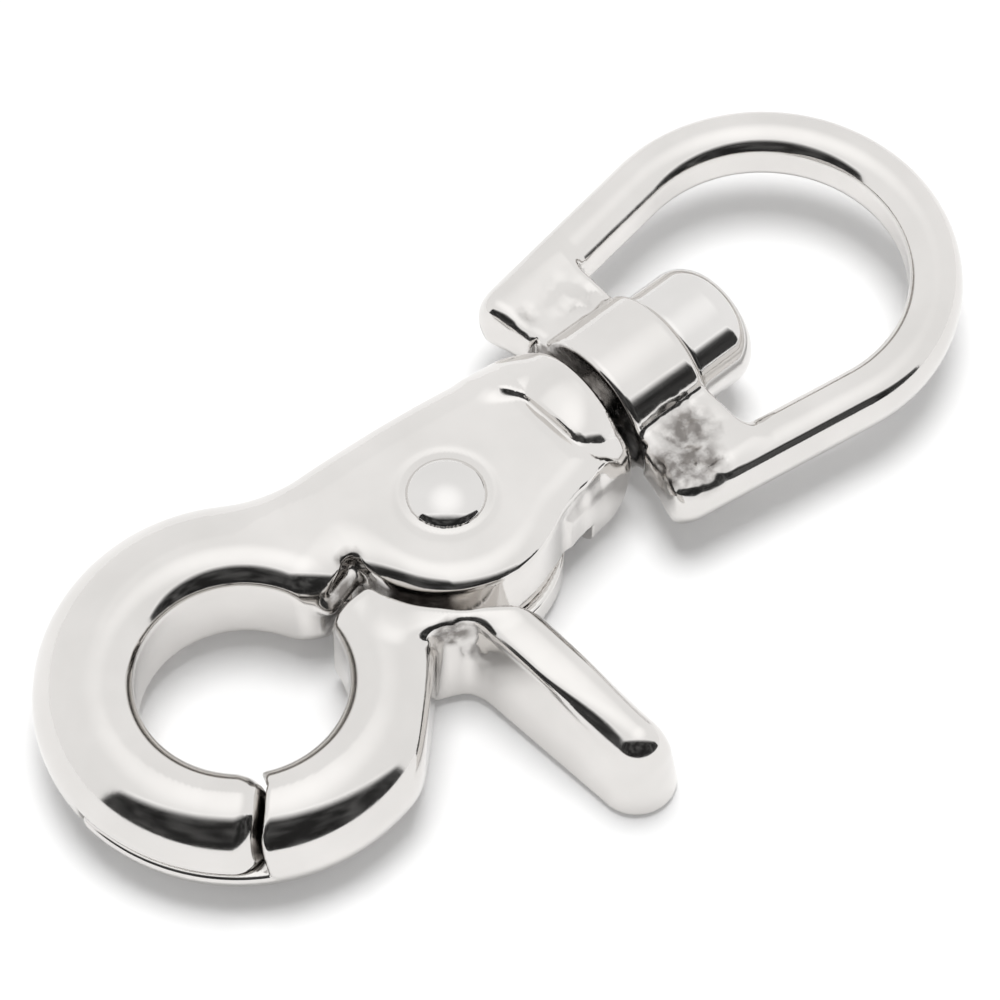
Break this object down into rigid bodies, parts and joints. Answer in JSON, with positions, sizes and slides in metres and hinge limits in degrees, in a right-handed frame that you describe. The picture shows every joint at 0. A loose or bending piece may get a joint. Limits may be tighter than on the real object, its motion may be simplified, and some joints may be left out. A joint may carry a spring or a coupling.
{
  "type": "scissor snap hook",
  "caption": "Polished cast snap hook: a sprung trigger jaw with a finger lever closes on a fixed jaw to form a round ring, and a D-shaped eye swivels on a headed pin.",
  "frame": {"origin": "centre of the round hook opening, halfway through the thickness of the hook", "axes": "+X along the hook towards the swivel eye, parallel to the swivel axis; +Y across the hook, away from the finger lever; +Z square to the flat of the hook, out of the face with the rivet's head"},
  "size_m": [0.0929, 0.0473, 0.0133],
  "materials": {
    "polished_casting": "mirror-polished casting with pitted hollows and faint polishing marks",
    "polished_rivet": "polished domed head",
    "polished_pin": "polished",
    "spring_wire": "drawn wire"
  },
  "bodies": {
    "hook": {"hook_body": "polished_casting", "pivot_rivet": "polished_rivet", "swivel_pin": "polished_pin"},
    "trigger": {"trigger_jaw": "polished_casting", "torsion_spring": "spring_wire"},
    "eye": {"swivel_eye": "polished_casting"}
  },
  "joints": [
    {"name": "trigger_hinge", "type": "hinge", "parent": "hook", "child": "trigger", "pos_m": [0.023, 0.0018, 0], "axis": [0, 0, 1], "range_deg": [0, 25], "stiffness_Nm_per_rad": 0.25, "springref_deg": -22.92, "deforming": ["torsion_spring"]},
    {"name": "eye_swivel", "type": "hinge", "parent": "hook", "child": "eye", "pos_m": [0.043, 0.003, 0], "axis": [1, 0, 0], "continuous": true}
  ]
}
